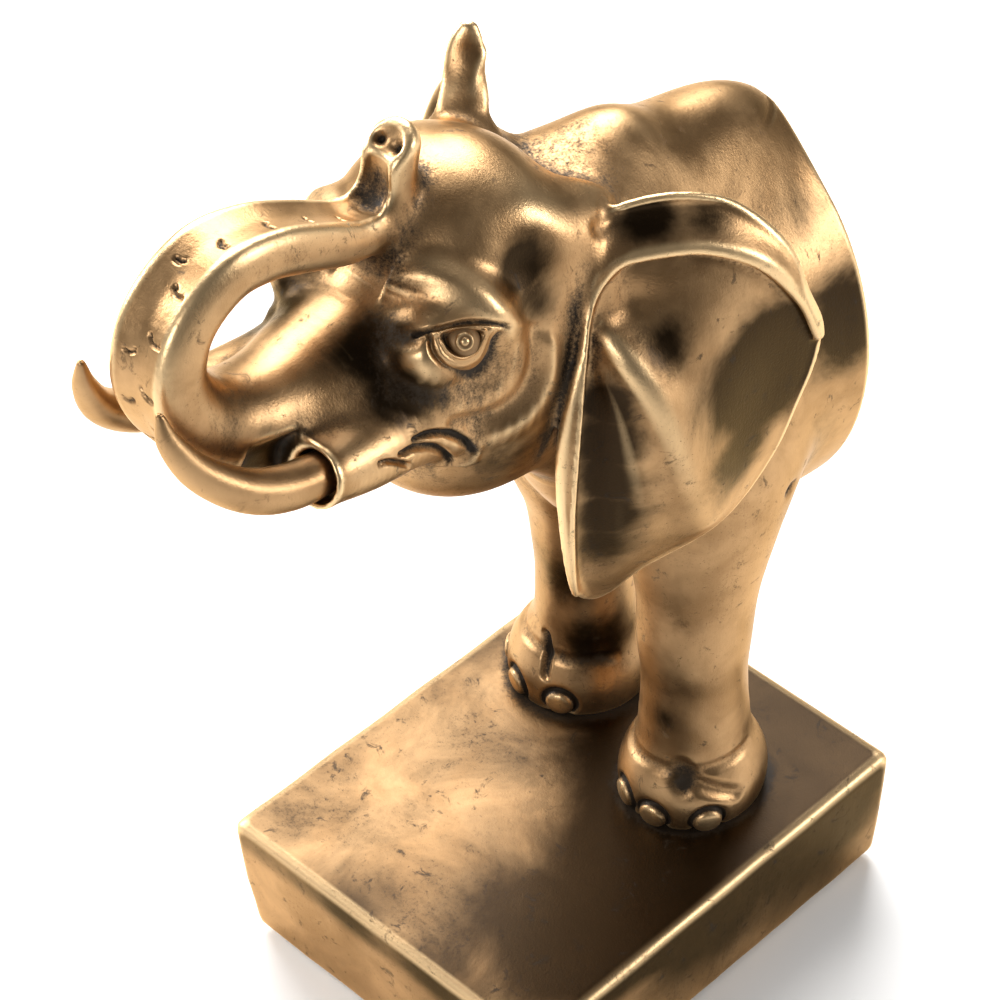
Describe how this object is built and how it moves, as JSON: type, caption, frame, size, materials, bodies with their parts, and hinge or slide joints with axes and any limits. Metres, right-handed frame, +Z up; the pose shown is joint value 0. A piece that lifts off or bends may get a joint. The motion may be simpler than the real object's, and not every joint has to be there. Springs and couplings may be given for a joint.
{
  "type": "elephant bookend",
  "caption": "Bookend shaped as the front half of an elephant with a raised, curled trunk, standing on a weighted block with a flat back for books.",
  "frame": {"origin": "centre of the block's underside, on the shelf", "axes": "+Z up; +Y towards the books, square to the flat back; the elephant faces -Y and its left side is +X"},
  "size_m": [0.088, 0.1609, 0.2329],
  "materials": {
    "gold_resin": "satin",
    "bright_gold": "satin",
    "iron": "matte",
    "steel": "satin",
    "dowel_wood": "matte",
    "felt": "matte"
  },
  "bodies": {
    "root": {"plinth": "gold_resin", "ballast": "iron", "bottom_plate": "steel", "plate_screws": "steel", "felt_pad": "felt", "torso": "gold_resin", "left_foreleg": "gold_resin", "right_foreleg": "gold_resin", "leg_rods": "steel", "leg_nuts": "steel", "leg_washers": "steel", "neck_dowel": "dowel_wood", "head": "gold_resin", "trunk": "gold_resin", "trunk_wire": "steel", "left_ear": "gold_resin", "right_ear": "gold_resin", "left_tusk": "bright_gold", "right_tusk": "bright_gold", "left_eye": "bright_gold", "right_eye": "bright_gold"}
  },
  "joints": []
}
